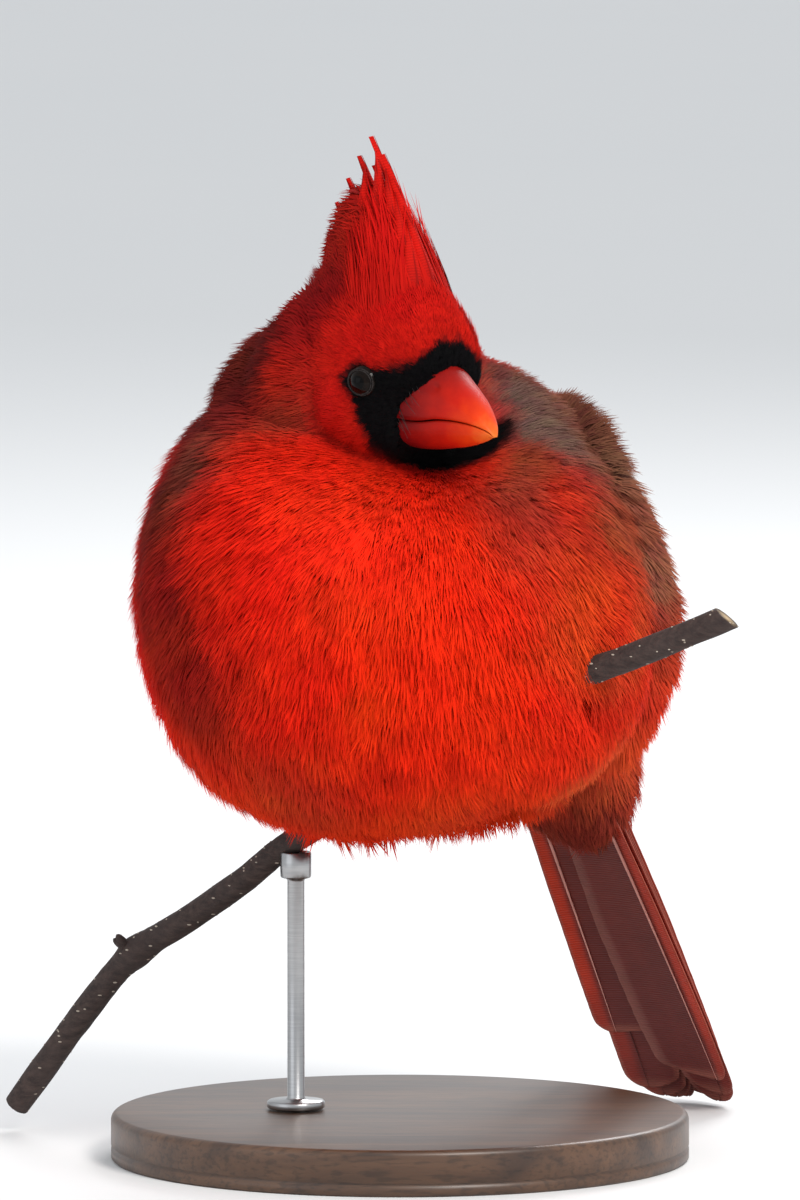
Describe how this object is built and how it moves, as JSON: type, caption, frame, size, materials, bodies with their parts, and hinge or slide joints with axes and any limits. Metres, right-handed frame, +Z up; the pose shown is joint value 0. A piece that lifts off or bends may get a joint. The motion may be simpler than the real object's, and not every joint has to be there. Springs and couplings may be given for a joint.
{
  "type": "northern cardinal, perched male",
  "caption": "Life-size male northern cardinal fluffed into a ball, crest raised and head turned, perched on a cut twig on a plain display stand.",
  "frame": {"origin": "centre of the stand base's round underside, on the floor the model stands on", "axes": "+Z up, -Y the side the bird is seen from in the picture, +X to the right there; the breast faces between -Y and -X and the head between -Y and +X"},
  "size_m": [0.126, 0.1224, 0.1776],
  "materials": {
    "plumage": "matte",
    "wing_feathers": "satin",
    "tail_feathers": "satin",
    "bill": "satin",
    "eye": "gloss",
    "scaly_skin": "satin",
    "bark": "matte",
    "stand_wood": "satin",
    "stand_metal": "satin"
  },
  "bodies": {
    "root": {"torso": "plumage", "neck": "plumage", "head": "plumage", "wing_left": "wing_feathers", "wing_right": "wing_feathers", "tail": "tail_feathers", "bill_upper": "bill", "bill_lower": "bill", "eye_left": "eye", "eye_right": "eye", "leg_left": "scaly_skin", "leg_right": "scaly_skin", "perch": "bark", "stand_base": "stand_wood", "stand_rod": "stand_metal"}
  },
  "joints": []
}
